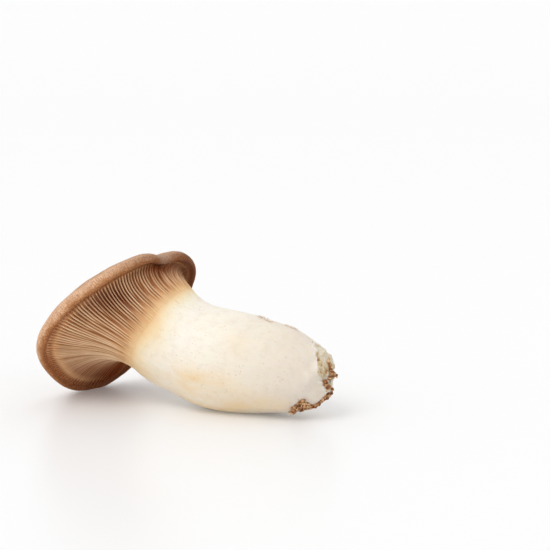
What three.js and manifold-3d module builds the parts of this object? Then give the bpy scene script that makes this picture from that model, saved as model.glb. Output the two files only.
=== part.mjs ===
// King oyster mushroom lying on its side: three.js, millimetres, +Z up.
// +X runs along the stem to the torn base and -X to the cap. The origin is the spot under the
// belly of the stem where it touches the surface it lies on, and +Y is the side away from the viewer.
import * as THREE from 'three';
import { mergeVertices } from 'three/addons/utils/BufferGeometryUtils.js';
import Module from 'manifold-3d';

const wasm = await Module();
wasm.setup();

// Stem stations from the torn end to the neck: place of the section's centre, its radius and how
// far the section leans back from upright, in degrees.
const STEM = [
  { x: 35.5, z: 15.2, radius: 0, lean: 8 },
  { x: 35.2, z: 15.2, radius: 3.6, lean: 8 },
  { x: 32.6, z: 15.7, radius: 9.2, lean: 9 },
  { x: 29.2, z: 16.3, radius: 11.5, lean: 12 },
  { x: 24.0, z: 16.1, radius: 14.7, lean: 10 },
  { x: 16.5, z: 17.9, radius: 17.0, lean: 8 },
  { x: 6.0, z: 18.4, radius: 18.9, lean: 7 },
  { x: -5.0, z: 19.2, radius: 20.3, lean: 9 },
  { x: -15.5, z: 20.4, radius: 20.3, lean: 13 },
  { x: -25.0, z: 23.1, radius: 19.4, lean: 19 },
  { x: -33.0, z: 26.0, radius: 19.8, lean: 26 },
  { x: -39.0, z: 30.3, radius: 19.9, lean: 31 },
];
const NECK = STEM.length - 1;
const TORN_EDGE = 3;            // station where the torn end face meets the side of the stem
const STEM_LUMP = 0.22;         // height of the soft unevenness of the stem
const TORN_LUMP = 0.55;         // height of the unevenness of the torn end

// Cap: centre of its rim, how the rim's plane leans and turns, and its radius every 30 degrees.
// Angle 0 is the top of the rim, 90 the far side, 180 the bottom and 270 the near side.
const CAP_CENTRE = new THREE.Vector3(-59.7, 0, 34.3);
const CAP_LEAN = 40.2;
const CAP_TURN = 16;
const CAP_RADII = [33.3, 34.6, 30.8, 31.6, 32.8, 38.5, 36.1, 33.7, 35, 33.2, 29.9, 30.5];
const CAP_MEAN_RADIUS = 33.5;
const DENT = { angle: -2, width: 8, depth: 3.2 };
const CURL = { angle: 172, width: 40, reach: 3.6 }; // lower rim, curled towards the stem
const THIN_ROLL = { angle: 145, width: 30, share: 0.4 }; // the roll of the rim is thinner there

// Rim and top of the cap: height over the rim's plane, share of the rim's radius, and what is added.
const CAP_PROFILE = [
  { height: 2.7, share: 1, added: 0.4 },
  { height: 2.8, share: 1, added: 1.9 },
  { height: 1.2, share: 1, added: 3.6 },
  { height: -0.8, share: 1, added: 3.5 },
  { height: -2.5, share: 1, added: 2.0 },
  { height: -4.1, share: 1, added: 0.3 },
  { height: -5.5, share: 0.93, added: -0.2 },
  { height: -7.6, share: 0.74, added: 0 },
  { height: -9.7, share: 0.5, added: 0 },
  { height: -11.1, share: 0.28, added: 0 },
];
const CAP_TOP = -11.4;

// Gills: narrow ridges that run down the flared underside from the rim and fade out on the neck.
const GILLS = 96;
const GILL_EDGE = { height: 1.5, added: -0.4 };      // where the gills end, just inside the rim
const GILL_ROWS = [0.06, 0.16, 0.28, 0.41, 0.54, 0.67, 0.79, 0.9, 1];
const GILL_CREST = 0.6;
const GILL_VALLEY = -1.0;
const CREST_HALF = 0.2;         // half width of a crest, as a share of the gills' spacing
const GILL_RIM_FADE = 0.45;     // how much of its height a gill loses by the rim
const GILL_WAVE = 1.1;          // sideways wave of the gills, in degrees
const RELIEF_TURN = 0.42;       // share of half a turn by which a gill's height leans at the rim
const FUNNEL_BEND = new THREE.Vector3(-50, 0, 38);   // bends the line of centres from neck to cap

// Gills sweep round by this many degrees from the rim to the neck, except those at the bottom. The
// stem's rows of points follow them, and even out again by the given station.
const SWEEP = 26;
const STRAIGHT = { angle: 180, width: 42, share: 1.6 };
const SWEEP_EVEN_STATION = 7;

// Crumbs of growing medium on the torn base: routes of stations and angles, and the lumps' size.
const CRUMB_ROUTES = [
  [[3.9, 203], [3.5, 216], [3.1, 213], [2.6, 202], [2.2, 194], [1.8, 176], [1.3, 168], [0.8, 147],
    [1.0, 249], [1.2, 275], [1.2, 290], [0.9, 338], [1.0, 42], [0.9, 65], [1.2, 72]],
  [[3.5, 216], [3.1, 226], [2.7, 227]],
  [[0.9, 338], [1.4, 357], [1.7, 5], [2.1, 5]],
];
const CRUMB_STEP = 1.3;
const CRUMB_RADIUS = { least: 1.3, most: 2.0 };
const CRUMB_ROUGHNESS = { least: 0.82, most: 1.18 }; // reach of a lump's corners, as shares of it
const CRUMB_GAP = 0.3;          // air between the crumbs and the mushroom
const CRUMB_LOWEST = 0.15;
const CRUMB_SEED = 11;
const CRUMBED_STATION = 6;      // the crumbs stay on the torn end's side of this station

// Distances between the stem's rows of points, in stations, on the torn end and along the stem.
const TORN_STEP = 0.5;
const STEM_STEP = 0.75;

const radians = THREE.MathUtils.degToRad;

// Evenly spread numbers from 0 to 1, the same ones each time: a common linear generator.
function seededRandom(seed) {
  const range = 2 ** 32;
  let state = seed;
  return () => {
    state = (state * 1664525 + 1013904223) % range;
    return state / range;
  };
}

// Smooth curve through four neighbouring values, at t from 0 to 1 between the middle two.
function smoothBetween(before, from, to, after, t) {
  const slope = to - before;
  const bend = 2 * before - 5 * from + 4 * to - after;
  const twist = 3 * from - before - 3 * to + after;
  return from + 0.5 * (slope * t + bend * t * t + twist * t * t * t);
}

function bump(angle, { angle: centre, width }) {
  const away = THREE.MathUtils.euclideanModulo(angle - centre + 180, 360) - 180;
  return Math.exp(-((away / width) ** 2));
}

// Directions of a section: up along it, sideways along it, and out of it towards the base.
function sectionAxes(lean, turn) {
  const l = radians(lean);
  const t = radians(turn);
  return {
    up: new THREE.Vector3(Math.sin(l), 0, Math.cos(l)),
    side: new THREE.Vector3(Math.sin(t) * Math.cos(l), Math.cos(t), -Math.sin(t) * Math.sin(l)),
    out: new THREE.Vector3(Math.cos(t) * Math.cos(l), -Math.sin(t), -Math.cos(t) * Math.sin(l)),
  };
}

function outward(axes, angle) {
  const a = radians(angle);
  return axes.up.clone().multiplyScalar(Math.cos(a)).addScaledVector(axes.side, Math.sin(a));
}

// Nothing reaches below the surface that the mushroom lies on: belly and rim are flat where they rest.
function rest(point) {
  point.z = Math.max(point.z, 0);
  return point;
}

function stemStation(place) {
  const i = Math.min(Math.floor(place), NECK - 1);
  const near = [i - 1, i, i + 1, i + 2].map((k) => STEM[THREE.MathUtils.clamp(k, 0, NECK)]);
  const blend = (key) => smoothBetween(...near.map((station) => station[key]), place - i);
  return { x: blend('x'), z: blend('z'), radius: blend('radius'), lean: blend('lean') };
}

// A point of the stem's skin, at a station and an angle, moved out by the given clearance.
function stemPoint(place, angle, clearance = 0) {
  const station = stemStation(place);
  const axes = sectionAxes(station.lean, 0);
  const a = radians(angle);
  const torn = THREE.MathUtils.clamp(TORN_EDGE + 1 - place, 0, 1) * Math.min(place, 1);
  const soft = THREE.MathUtils.smoothstep(place, TORN_EDGE, TORN_EDGE + 2) * (1 - place / (NECK + 1));
  const lumps = STEM_LUMP * soft * (Math.sin(3 * a + 1.9 * place) + Math.sin(5 * a - 2.3 * place));
  const breaks = TORN_LUMP * torn * (Math.sin(4 * a + 2.6 * place) + 0.6 * Math.sin(9 * a - 4 * place));
  const endFace = THREE.MathUtils.clamp(TORN_EDGE + 0.5 - place, 0, 1);
  const radius = Math.max(station.radius + lumps + breaks + clearance, 0);
  return new THREE.Vector3(station.x + breaks * 0.5 + clearance * endFace, 0, station.z)
    .addScaledVector(outward(axes, angle), radius);
}

function capRadius(angle) {
  const steps = CAP_RADII.length;
  const place = THREE.MathUtils.euclideanModulo(angle, 360) / (360 / steps);
  const i = Math.floor(place);
  const near = [i - 1, i, i + 1, i + 2].map((k) => CAP_RADII[(k + steps) % steps]);
  return smoothBetween(...near, place - i) - DENT.depth * bump(angle, DENT);
}

const capAxes = sectionAxes(CAP_LEAN, CAP_TURN);

// A point of the rim or the top of the cap. Towards the middle the rim's waves and dent fade out.
function capPoint({ height, share, added }, angle) {
  const roll = added * (1 - THIN_ROLL.share * bump(angle, THIN_ROLL));
  const radius = THREE.MathUtils.lerp(CAP_MEAN_RADIUS, capRadius(angle), share ** 4) * share + roll;
  const lift = height + CURL.reach * bump(angle, CURL) * share;
  return CAP_CENTRE.clone()
    .addScaledVector(outward(capAxes, angle), radius)
    .addScaledVector(capAxes.out, lift);
}

// A point of the flared underside: share 0 is the neck, share 1 the gills' outer end. The relief
// lifts it off the surface, straight out at the neck and towards the base at the rim.
const neck = stemStation(NECK);
const funnelLine = new THREE.QuadraticBezierCurve3(
  new THREE.Vector3(neck.x, 0, neck.z),
  FUNNEL_BEND,
  CAP_CENTRE.clone().addScaledVector(capAxes.out, GILL_EDGE.height),
);

// How far round a gill has swept at a share of its way from the neck to the rim. Straight says how
// much the gills at the bottom keep out of it.
function sweep(share, angle, straight = 1) {
  const kept = 1 - STRAIGHT.share * bump(angle, STRAIGHT) * straight;
  return -SWEEP * kept * Math.cos(share * Math.PI / 2);
}

function funnelPoint(share, angle, relief) {
  const wave = GILL_WAVE * Math.sin(radians(5 * angle) + 6 * share) * share * (1 - share);
  const lean = THREE.MathUtils.lerp(neck.lean, CAP_LEAN, share);
  const axes = sectionAxes(lean, CAP_TURN * share);
  const direction = outward(axes, angle + wave);
  const edge = capRadius(angle) + GILL_EDGE.added;
  const slope = share * Math.PI * RELIEF_TURN;
  return funnelLine.getPoint(share)
    .addScaledVector(direction, neck.radius + (edge - neck.radius) * share ** 2)
    .addScaledVector(axes.out, CURL.reach * bump(angle, CURL) * share ** 2)
    .addScaledVector(direction, relief * Math.cos(slope))
    .addScaledVector(axes.out, relief * Math.sin(slope));
}

// Plain rows have one point in each valley between two gills. Rows of gills have three points a
// gill: the valley and both edges of the crest.
const SPACING = 360 / GILLS;
const valleyAngle = (gill) => (gill - 0.5) * SPACING;

function plainRow(pointAt) {
  return Array.from({ length: GILLS }, (_, gill) => rest(pointAt(valleyAngle(gill))));
}

function stemRow(place) {
  const straight = THREE.MathUtils.smoothstep(place, SWEEP_EVEN_STATION, NECK);
  return plainRow((angle) => stemPoint(place, angle + sweep(0, angle, straight)));
}

function gillRow(share) {
  const rise = THREE.MathUtils.smoothstep(share, 0, 0.4) * (1 - GILL_RIM_FADE * share ** 6);
  const swept = (angle, relief) => funnelPoint(share, angle + sweep(share, angle), relief * rise);
  const row = [];
  for (let gill = 0; gill < GILLS; gill += 1) {
    const crest = gill * SPACING;
    row.push(swept(valleyAngle(gill), GILL_VALLEY));
    row.push(swept(crest - CREST_HALF * SPACING, GILL_CREST));
    row.push(swept(crest + CREST_HALF * SPACING, GILL_CREST));
  }
  return row.map(rest);
}

// Triangles between two neighbouring rows, whose points are here(i) and next(i). A row of gills
// has three points for each one of a plain row.
function joinRows(size, nextSize, here, next) {
  const triangles = [];
  for (let i = 0; i < Math.min(size, nextSize); i += 1) {
    if (nextSize > size) {
      triangles.push([here(i), next(3 * i + 1), next(3 * i)]);
      triangles.push([here(i), next(3 * i + 2), next(3 * i + 1)]);
      triangles.push([here(i), here(i + 1), next(3 * i + 2)]);
      triangles.push([here(i + 1), next(3 * i + 3), next(3 * i + 2)]);
    } else if (nextSize < size) {
      triangles.push([here(3 * i), here(3 * i + 1), next(i)]);
      triangles.push([here(3 * i + 1), here(3 * i + 2), next(i)]);
      triangles.push([here(3 * i + 2), next(i + 1), next(i)]);
      triangles.push([here(3 * i + 2), here(3 * i + 3), next(i + 1)]);
    } else {
      triangles.push([here(i), here(i + 1), next(i + 1)]);
      triangles.push([here(i), next(i + 1), next(i)]);
    }
  }
  return triangles;
}

// One closed skin from rows of points that run from the base to the top of the cap.
function closedSkin(basePole, rows, topPole) {
  const points = [basePole, ...rows.flat(), topPole];
  const triangles = [];
  let start = 1;
  rows.forEach((row, r) => {
    const size = row.length;
    const first = start;
    const here = (i) => first + (i % size);
    if (r === 0) {
      row.forEach((_, i) => triangles.push([0, here(i + 1), here(i)]));
    }
    if (r === rows.length - 1) {
      row.forEach((_, i) => triangles.push([here(i), here(i + 1), points.length - 1]));
    } else {
      const nextSize = rows[r + 1].length;
      triangles.push(...joinRows(size, nextSize, here, (i) => first + size + (i % nextSize)));
    }
    start += size;
  });
  const geometry = new THREE.BufferGeometry().setFromPoints(points);
  geometry.setIndex(triangles.flat());
  geometry.computeVertexNormals();
  return geometry;
}

// Stations of the stem's rows of points.
function stemPlaces(last) {
  const places = [];
  for (let place = 1; place <= last; place += place <= TORN_EDGE ? TORN_STEP : STEM_STEP) {
    places.push(place);
  }
  return places;
}

function makeMushroom() {
  const rows = [
    ...stemPlaces(NECK).map(stemRow),
    ...GILL_ROWS.map(gillRow),
    ...CAP_PROFILE.map((ring) => plainRow((angle) => capPoint(ring, angle))),
  ];
  const capTop = CAP_CENTRE.clone().addScaledVector(capAxes.out, CAP_TOP);
  const skin = new THREE.MeshStandardMaterial({ color: 0xf0e2c8, roughness: 0.6, metalness: 0 });
  const mesh = new THREE.Mesh(closedSkin(stemPoint(0, 0), rows, capTop), skin);
  mesh.name = 'mushroom';
  return mesh;
}

function toSolid(geometry) {
  const bare = geometry.clone();
  bare.deleteAttribute('normal');
  bare.deleteAttribute('uv');
  const merged = mergeVertices(bare);
  return new wasm.Manifold(new wasm.Mesh({
    numProp: 3,
    vertProperties: new Float32Array(merged.attributes.position.array),
    triVerts: new Uint32Array(merged.index.array),
  }));
}

function toGeometry(solid) {
  const { vertProperties, triVerts } = solid.getMesh();
  const geometry = new THREE.BufferGeometry();
  geometry.setAttribute('position', new THREE.BufferAttribute(vertProperties, 3));
  geometry.setIndex(new THREE.BufferAttribute(triVerts, 1));
  geometry.computeVertexNormals();
  return geometry;
}

// One crumb: a small rough lump round a point of the stem's skin.
function crumb(centre, random) {
  const { least, most } = CRUMB_RADIUS;
  const sides = new THREE.IcosahedronGeometry(1, 0).deleteAttribute('normal').deleteAttribute('uv');
  const lump = mergeVertices(sides);
  const size = least + (most - least) * random();
  const position = lump.attributes.position;
  const corner = new THREE.Vector3();
  for (let i = 0; i < position.count; i += 1) {
    const reach = THREE.MathUtils.lerp(CRUMB_ROUGHNESS.least, CRUMB_ROUGHNESS.most, random());
    corner.fromBufferAttribute(position, i).multiplyScalar(size * reach);
    corner.add(centre);
    position.setXYZ(i, corner.x, corner.y, Math.max(corner.z, CRUMB_LOWEST));
  }
  return toSolid(lump);
}

// Points along a route over the torn end, about CRUMB_STEP apart.
function alongRoute(route) {
  const corners = route.map(([place, angle]) => ({ place, angle, point: stemPoint(place, angle) }));
  const points = [];
  for (let i = 0; i + 1 < corners.length; i += 1) {
    const from = corners[i];
    const to = corners[i + 1];
    const turn = THREE.MathUtils.euclideanModulo(to.angle - from.angle + 180, 360) - 180;
    const steps = Math.max(Math.round(from.point.distanceTo(to.point) / CRUMB_STEP), 1);
    for (let k = 0; k < steps; k += 1) {
      const share = k / steps;
      points.push(stemPoint(
        THREE.MathUtils.lerp(from.place, to.place, share),
        from.angle + turn * share,
      ));
    }
  }
  points.push(corners.at(-1).point);
  return points;
}

// The end of the stem, grown by the gap: what the crumbs are cut back to.
function clearanceSolid() {
  const rows = stemPlaces(CRUMBED_STATION).map((place) => (
    Array.from({ length: GILLS }, (_, i) => stemPoint(place, valleyAngle(i), CRUMB_GAP))
  ));
  const inner = stemStation(CRUMBED_STATION);
  return toSolid(closedSkin(
    stemPoint(0, 0).add(new THREE.Vector3(CRUMB_GAP, 0, 0)),
    rows,
    new THREE.Vector3(inner.x, 0, inner.z),
  ));
}

function makeCrumbs() {
  const random = seededRandom(CRUMB_SEED);
  const lumps = CRUMB_ROUTES.flatMap(alongRoute).map((point) => crumb(point, random));
  const joined = lumps.reduce((sum, lump) => sum.add(lump));
  const rust = new THREE.MeshStandardMaterial({ color: 0xa8734a, roughness: 0.9, metalness: 0 });
  const mesh = new THREE.Mesh(toGeometry(joined.subtract(clearanceSolid())), rust);
  mesh.name = 'substrate_crumbs';
  return mesh;
}

const kingOysterMushroom = new THREE.Group();
kingOysterMushroom.add(makeMushroom(), makeCrumbs());

export default kingOysterMushroom;
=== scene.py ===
"""A king oyster mushroom lying on its side on a pale floor, in soft studio light.

The stem is pale, smooth flesh that turns tan at the neck. The flared underside carries thin gills,
the cap has a velvety brown skin with a rolled rim, and rusty crumbs cling to the torn base.
"""

import math
import random

import bmesh
import bpy
from mathutils import Matrix, Vector, noise


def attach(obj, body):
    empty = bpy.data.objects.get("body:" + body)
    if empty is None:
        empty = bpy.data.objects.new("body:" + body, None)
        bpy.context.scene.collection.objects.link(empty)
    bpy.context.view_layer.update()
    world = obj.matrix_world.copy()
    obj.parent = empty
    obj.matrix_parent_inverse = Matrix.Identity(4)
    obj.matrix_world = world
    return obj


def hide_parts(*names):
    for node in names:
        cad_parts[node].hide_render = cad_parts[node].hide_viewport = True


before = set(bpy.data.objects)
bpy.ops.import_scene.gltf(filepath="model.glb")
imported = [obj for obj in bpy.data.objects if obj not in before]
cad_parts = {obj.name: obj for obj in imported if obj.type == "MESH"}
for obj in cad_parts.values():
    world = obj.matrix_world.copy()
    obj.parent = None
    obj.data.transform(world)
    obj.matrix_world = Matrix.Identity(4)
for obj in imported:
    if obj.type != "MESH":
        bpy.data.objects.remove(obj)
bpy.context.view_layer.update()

MM = 0.001

# Stem stations from the torn end to the neck, in mm and degrees: x and height of the section's
# centre, its radius and how far it leans back from upright.
STEM = [
    (35.5, 15.2, 0.0, 8),
    (35.2, 15.2, 3.6, 8),
    (32.6, 15.7, 9.2, 9),
    (29.2, 16.3, 11.5, 12),
    (24.0, 16.1, 14.7, 10),
    (16.5, 17.9, 17.0, 8),
    (6.0, 18.4, 18.9, 7),
    (-5.0, 19.2, 20.3, 9),
    (-15.5, 20.4, 20.3, 13),
    (-25.0, 23.1, 19.4, 19),
    (-33.0, 26.0, 19.8, 26),
    (-39.0, 30.3, 19.9, 31),
]
NECK = len(STEM) - 1

# The torn end lies before station 3. Waves round a section (how many, their turn in radians a station,
# strength) make the lumps of the skin and the breaks of the torn end, by so many mm. A share of each
# break also pushes the flesh along the stem.
TORN_EDGE = 3
SKIN_WAVES = [(3, 1.9, 1), (5, -2.3, 1)]
TORN_WAVES = [(4, 2.6, 1), (9, -4, 0.6)]
STEM_LUMP = 0.22
TORN_LUMP = 0.55
TORN_PUSH = 0.5

# Cap: centre of the rim, lean and turn of its plane, and its radius every 30 degrees from the top.
# One place of the rim is dented, one curls further out and one has a thinner roll (angle, width, size).
CAP_CENTRE = Vector((-59.7, 0, 34.3))
CAP_LEAN = 40.2
CAP_TURN = 16
CAP_RADII = [33.3, 34.6, 30.8, 31.6, 32.8, 38.5, 36.1, 33.7, 35, 33.2, 29.9, 30.5]
CAP_MEAN_RADIUS = 33.5
DENT_ANGLE, DENT_WIDTH, DENT_DEPTH = -2, 8, 3.2
CURL_ANGLE, CURL_WIDTH, CURL_REACH = 172, 40, 3.6
THIN_ANGLE, THIN_WIDTH, THIN_SHARE = 145, 30, 0.4

# Rings of the rim and the top of the cap: height over the rim's plane, share of its radius, added.
CAP_RINGS = [
    (1.5, 1, 0.4),
    (1.7, 1, 0.9),
    (2.4, 1, 1.3),
    (2.9, 1, 2.0),
    (2.5, 1, 2.9),
    (1.2, 1, 3.5),
    (-0.5, 1, 3.55),
    (-2.2, 1, 2.3),
    (-3.8, 1, 0.6),
    (-5.2, 0.94, -0.2),
    (-6.6, 0.82, 0),
    (-8.0, 0.7, 0),
    (-9.6, 0.5, 0),
    (-10.9, 0.3, 0),
    (-11.3, 0.12, 0),
]

# Flared underside: height over the rim's plane and added radius at the gills' outer end, the point that
# its middle line bends towards, and the share of a half turn that its skin tips outwards by.
GILL_EDGE_HEIGHT, GILL_EDGE_ADDED = 1.5, 0.1
FUNNEL_BEND = Vector((-50, 0, 38))
FUNNEL_TIP = 0.42

# Rings of the skin's cage: points on each, stations on the torn end, step between stations on the
# stem, and shares of the way from the neck to the rim on the flared underside.
CAGE_SIDES = 72
TORN_STATIONS = [0.35, 0.75, 1.2, 1.7, 2.2, 2.6, 2.9, 3.15, 3.5, 4]
STEM_STEP = 0.5
FUNNEL_SHARES = [0.08, 0.18, 0.29, 0.4, 0.51, 0.62, 0.73, 0.83, 0.91, 0.96, 1]

# Gaps between the gills, in mm: most of them are shallow, and they are deep round one angle and one
# share of the way to the rim. They open from the neck on and close again at the rim, but for a part.
GILL_DEPTH, GILL_SHALLOW = 1.8, 1.0
DEEP_ANGLE, DEEP_WIDTH = 296, 22
DEEP_SHARE, DEEP_REACH = 0.58, 0.26
GAP_START, GAP_FULL = -0.02, 0.3
RIM_START = 0.9
GAP_CLOSED = 0.85

# Gills, in mm: how far they stand out of the flared surface and are sunk into the gaps' floor, and how
# thick they are. At its start a gill is thinner and hidden below the floor, and its root is wider than
# its crest.
GILL_CREST = 0.45
GILL_ROOT = 0.5
GILL_HIDDEN = 0.15
GILL_THICKNESS = 0.6
START_WIDTH = 0.35
ROOT_WIDTH, CREST_TAPER = 1.25, 0.5
GILL_COUNT = 132
GILL_SEGMENTS = 40

# Shares of the way to the rim: where gills end, over how much of it they grow to their full height,
# how far they run down over the neck, where crests are full, and how much of a crest the rim takes
# away. The stem has 4 stations to such a share.
GILL_END = 0.995
LONG_GROWTH, SHORT_GROWTH = 0.35, 0.6
GILL_OVER_NECK = 0.22
CREST_FULL = 0.2
CREST_LOST = 0.9
STATIONS_A_SHARE = 4

# Gills sweep round by this many degrees from the rim to the neck, but less near the top and the other
# way near the bottom (angle, width, share of the sweep that is lost).
SWEEP = 26
STRAIGHTER = [(180, 42, 1.6), (10, 46, 0.35)]

# Gills also sway in slow bends and quick ripples: degrees, and how fast they change round the cap and
# on the way out. The bends end past the rim, and the ripples lose a part on the way.
SLOW_SWAY, SLOW_ROUND, SLOW_OUT, SLOW_END = 2.0, 1.6, 1.7, 1.25
QUICK_SWAY, QUICK_ROUND, QUICK_OUT, QUICK_LOST = 0.4, 9, 7, 0.6

# Station numbers that the finishes follow: the stem is 0 to 11, the flared underside 11 to 12 and
# the cap's skin from 12 on.
FUNNEL_STATION = float(NECK)
SKIN_STATION = NECK + 1.0


def smooth_between(before, start, end, after, t):
    """Smooth curve through four neighbouring values, at t from 0 to 1 between the middle two."""
    slope = end - before
    bend = 2 * before - 5 * start + 4 * end - after
    twist = 3 * start - before - 3 * end + after
    return start + 0.5 * (slope * t + bend * t * t + twist * t * t * t)


def clamp(value, low=0.0, high=1.0):
    return max(low, min(high, value))


def ease(value, start, end):
    """Rises softly from 0 at the start to 1 at the end."""
    t = clamp((value - start) / (end - start))
    return t * t * (3 - 2 * t)


def bump(angle, centre, width):
    """A soft hill round an angle: 1 at its centre, and about a third at its width from there."""
    away = (angle - centre + 180) % 360 - 180
    return math.exp(-((away / width) ** 2))


def section_axes(lean, turn):
    """Directions of a section: up along it, sideways along it, and out of it towards the base."""
    back = math.radians(lean)
    round_up = math.radians(turn)
    up = Vector((math.sin(back), 0, math.cos(back)))
    side = Vector((
        math.sin(round_up) * math.cos(back), math.cos(round_up), -math.sin(round_up) * math.sin(back)))
    out = Vector((
        math.cos(round_up) * math.cos(back), -math.sin(round_up), -math.cos(round_up) * math.sin(back)))
    return up, side, out


def outward(axes, angle):
    """Direction in a section's plane at an angle from its top."""
    a = math.radians(angle)
    return axes[0] * math.cos(a) + axes[1] * math.sin(a)


def rest(point):
    """Nothing reaches below the floor: belly and rim are flat where the mushroom rests."""
    return Vector((point.x, point.y, max(point.z, 0)))


def stem_station(place):
    """Centre, radius and lean of the stem's section at a station, between the listed ones too."""
    i = min(int(place), NECK - 1)
    near = [STEM[int(clamp(k, 0, NECK))] for k in (i - 1, i, i + 1, i + 2)]
    return [smooth_between(*values, place - i) for values in zip(*near)]


def waves(kinds, a, place):
    return sum(strength * math.sin(count * a + turn * place) for count, turn, strength in kinds)


def stem_point(place, angle):
    """A point of the stem's skin, in mm, at a station and an angle."""
    x, z, radius, lean = stem_station(place)
    a = math.radians(angle)
    torn = clamp(TORN_EDGE + 1 - place) * min(place, 1)
    soft = ease(place, TORN_EDGE, TORN_EDGE + 2) * (1 - place / (NECK + 1))
    lumps = STEM_LUMP * soft * waves(SKIN_WAVES, a, place)
    breaks = TORN_LUMP * torn * waves(TORN_WAVES, a, place)
    reach = max(radius + lumps + breaks, 0)
    return Vector((x + breaks * TORN_PUSH, 0, z)) + outward(section_axes(lean, 0), angle) * reach


def cap_radius(angle):
    steps = len(CAP_RADII)
    place = (angle % 360) / (360 / steps)
    i = int(place)
    near = [CAP_RADII[k % steps] for k in (i - 1, i, i + 1, i + 2)]
    return smooth_between(*near, place - i) - DENT_DEPTH * bump(angle, DENT_ANGLE, DENT_WIDTH)


CAP_AXES = section_axes(CAP_LEAN, CAP_TURN)


def cap_point(height, share, added, angle):
    """A point of the rim or the top of the cap, in mm. The rim's waves die out towards the middle."""
    waved = share ** 4
    roll = added * (1 - THIN_SHARE * bump(angle, THIN_ANGLE, THIN_WIDTH))
    radius = (CAP_MEAN_RADIUS + (cap_radius(angle) - CAP_MEAN_RADIUS) * waved) * share + roll
    lift = height + CURL_REACH * bump(angle, CURL_ANGLE, CURL_WIDTH) * share
    return CAP_CENTRE + outward(CAP_AXES, angle) * radius + CAP_AXES[2] * lift


NECK_X, NECK_Z, NECK_RADIUS, NECK_LEAN = STEM[-1]
FUNNEL_START = Vector((NECK_X, 0, NECK_Z))
FUNNEL_END = CAP_CENTRE + CAP_AXES[2] * GILL_EDGE_HEIGHT


def funnel_radius(share, angle):
    edge = cap_radius(angle) + GILL_EDGE_ADDED
    return NECK_RADIUS + (edge - NECK_RADIUS) * share ** 2


def funnel_point(share, angle, relief):
    """A point of the flared underside, in mm: share 0 is the neck and 1 the gills' outer end."""
    back = 1 - share
    centre = FUNNEL_START * back * back + FUNNEL_BEND * (2 * share * back) + FUNNEL_END * share * share
    axes = section_axes(NECK_LEAN + (CAP_LEAN - NECK_LEAN) * share, CAP_TURN * share)
    slope = share * math.pi * FUNNEL_TIP
    out = CURL_REACH * bump(angle, CURL_ANGLE, CURL_WIDTH) * share ** 2 + relief * math.sin(slope)
    reach = funnel_radius(share, angle) + relief * math.cos(slope)
    return centre + outward(axes, angle) * reach + axes[2] * out


def flared_point(share, angle, relief):
    """A point of the flared underside, or of the stem next to it where the share is below 0."""
    if share >= 0:
        return funnel_point(share, angle, relief)
    place = NECK + share * STATIONS_A_SHARE
    lean = stem_station(place)[3]
    return stem_point(place, angle) + outward(section_axes(lean, 0), angle) * relief


def gill_sweep(share, angle):
    """How far a gill has swept round at a share of its way, in degrees."""
    kept = 1 - sum(lost * bump(angle, centre, width) for centre, width, lost in STRAIGHTER)
    return -SWEEP * kept * math.cos(max(share, 0) * math.pi / 2)


def deep_share(share, angle):
    """How near a place is to the zone where the gaps between the gills are deep and get painted shade."""
    return bump(angle, DEEP_ANGLE, DEEP_WIDTH) * math.exp(-((share - DEEP_SHARE) / DEEP_REACH) ** 2)


def gap_floor(share, angle):
    """Relief of the surface between the gills."""
    depth = GILL_SHALLOW + (GILL_DEPTH - GILL_SHALLOW) * deep_share(share, angle)
    return -depth * ease(share, GAP_START, GAP_FULL) * (1 - GAP_CLOSED * ease(share, RIM_START, 1))


# Where the finish changes: zones of painted shade, which turn the flesh browner and darker round the
# gills and the rim (angle, width, strength) and grow between two shares of the way out, and yellow
# stains on the stem (station, its width, angle, its width, strength).
SHADED_GILL_ZONES = [(150, 34, 1.0), (198, 22, 0.45), (40, 22, 0.7), (352, 28, 0.95), (292, 24, 0.5)]
SHADED_RIM_ZONES = [(150, 34, 0.8), (50, 26, 0.7), (20, 20, 0.6), (345, 24, 0.6)]
STAINS = [
    (6.5, 0.4, 305, 14, 0.5),
    (7.8, 1.3, 250, 20, 1.0),
    (6.2, 1.1, 226, 20, 0.5),
    (4.6, 1.2, 225, 18, 0.4),
    (10.2, 0.7, 240, 60, 0.45),
    (7.6, 2.0, 206, 20, 0.6),
]
SHADE_START, SHADE_FULL = 0.05, 0.8

# Lip where the smooth skin ends over the torn flesh, in stations: its place, how much further up the
# stem it reaches round one angle, how far it wanders, how far the tear fades before and after it, and
# the place and width of its ridge. A small nub of flesh, in mm high, stands out beside the crumbs.
LIP_LOW, LIP_REACH, LIP_ANGLE, LIP_WIDTH = 1.0, 2.6, 10, 70
LIP_STRAY = 0.35
TEAR_BEFORE, TEAR_AFTER = 0.1, 0.04
RIDGE_PLACE, RIDGE_WIDTH = 0.12, 0.13
NUB_STATION, NUB_REACH, NUB_ANGLE, NUB_WIDTH, NUB_HEIGHT = 4.2, 0.16, 197, 5, 1.3

# Sculpted unevenness, in mm: torn flesh and how far it is sunk in, the lip's ridge and its waves, the
# cap skin's swells and grain and how far it is sunk in, and the stem's swells. Then how fine each is,
# in waves a mm.
TORN_ROUGH, TORN_SUNK = 0.75, 0.4
RIDGE_HEIGHT, RIDGE_WAVES = 0.22, 0.2
CAP_SWELLS, CAP_GRAIN, CAP_SUNK = 0.25, 0.08, 0.03
STEM_SWELLS = 0.16
TORN_FINE, RIDGE_FINE, CAP_SWELLS_FINE, CAP_GRAIN_FINE = 0.4, 0.8, 0.12, 0.7
STEM_FINE_ALONG, STEM_FINE_ACROSS = 0.05, 0.14

# Shares of the way over the cap: the skin is at its full finish after the first, and the pale spot at
# the dent fades between the other two. It is narrower than the dent.
SKIN_FULL = 0.15
PALE_START, PALE_END = 0.45, 0.6
PALE_WIDTH = 0.7


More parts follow.
